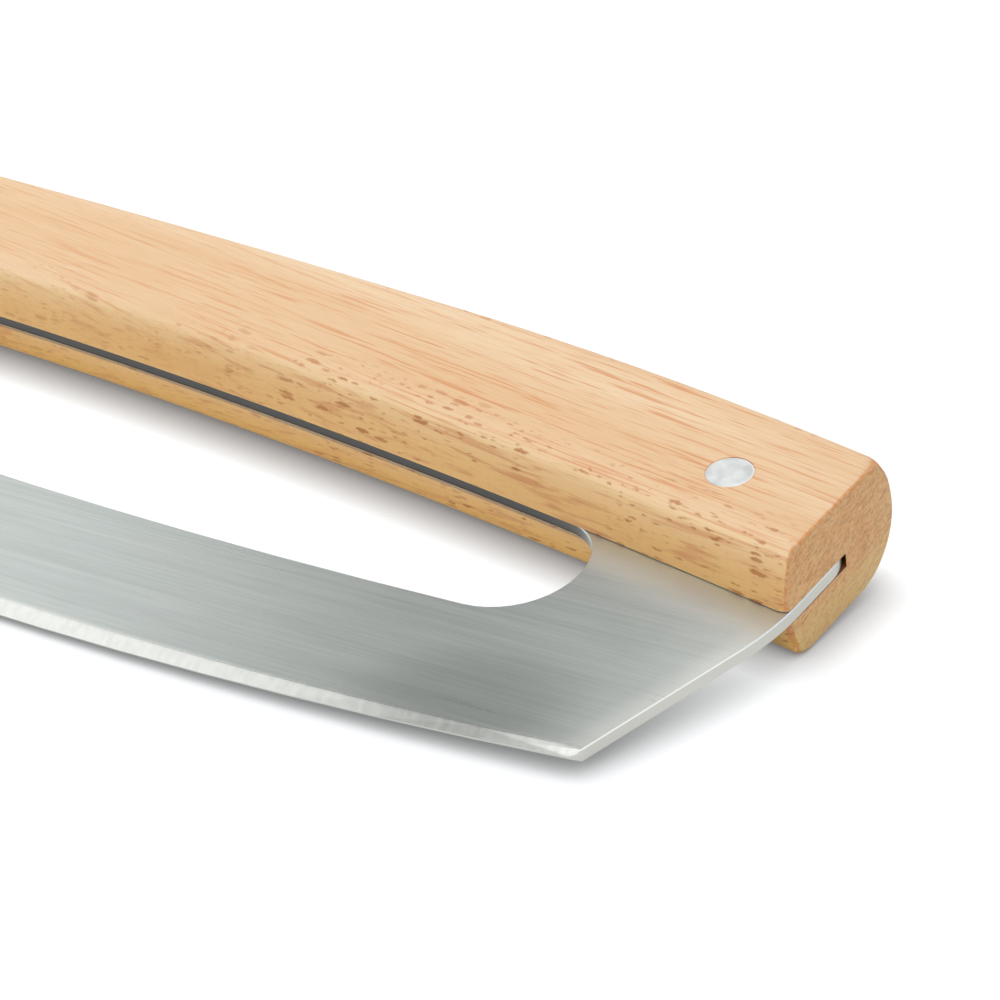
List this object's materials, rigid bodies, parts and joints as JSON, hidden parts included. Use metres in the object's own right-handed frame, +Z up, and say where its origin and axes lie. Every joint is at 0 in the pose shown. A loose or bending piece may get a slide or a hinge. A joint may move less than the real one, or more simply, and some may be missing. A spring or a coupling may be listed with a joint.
{
  "type": "rocking pizza knife",
  "caption": "Rocking pizza knife: a wooden bar handle over an arched steel blade with a long finger window, lying on its side.",
  "frame": {"origin": "middle of the bounding box on the table that the knife lies on", "axes": "+X along the handle, +Y from the cutting edge to the handle's back, +Z up from the table"},
  "size_m": [0.315, 0.0854, 0.0216],
  "materials": {
    "handle_wood": "sanded and lightly oiled",
    "blade_steel": "brushed lengthwise",
    "rivet_metal": "ground flush, satin"
  },
  "bodies": {
    "root": {"handle": "handle_wood", "blade": "blade_steel", "right_rivet": "rivet_metal", "left_rivet": "rivet_metal"}
  },
  "joints": []
}
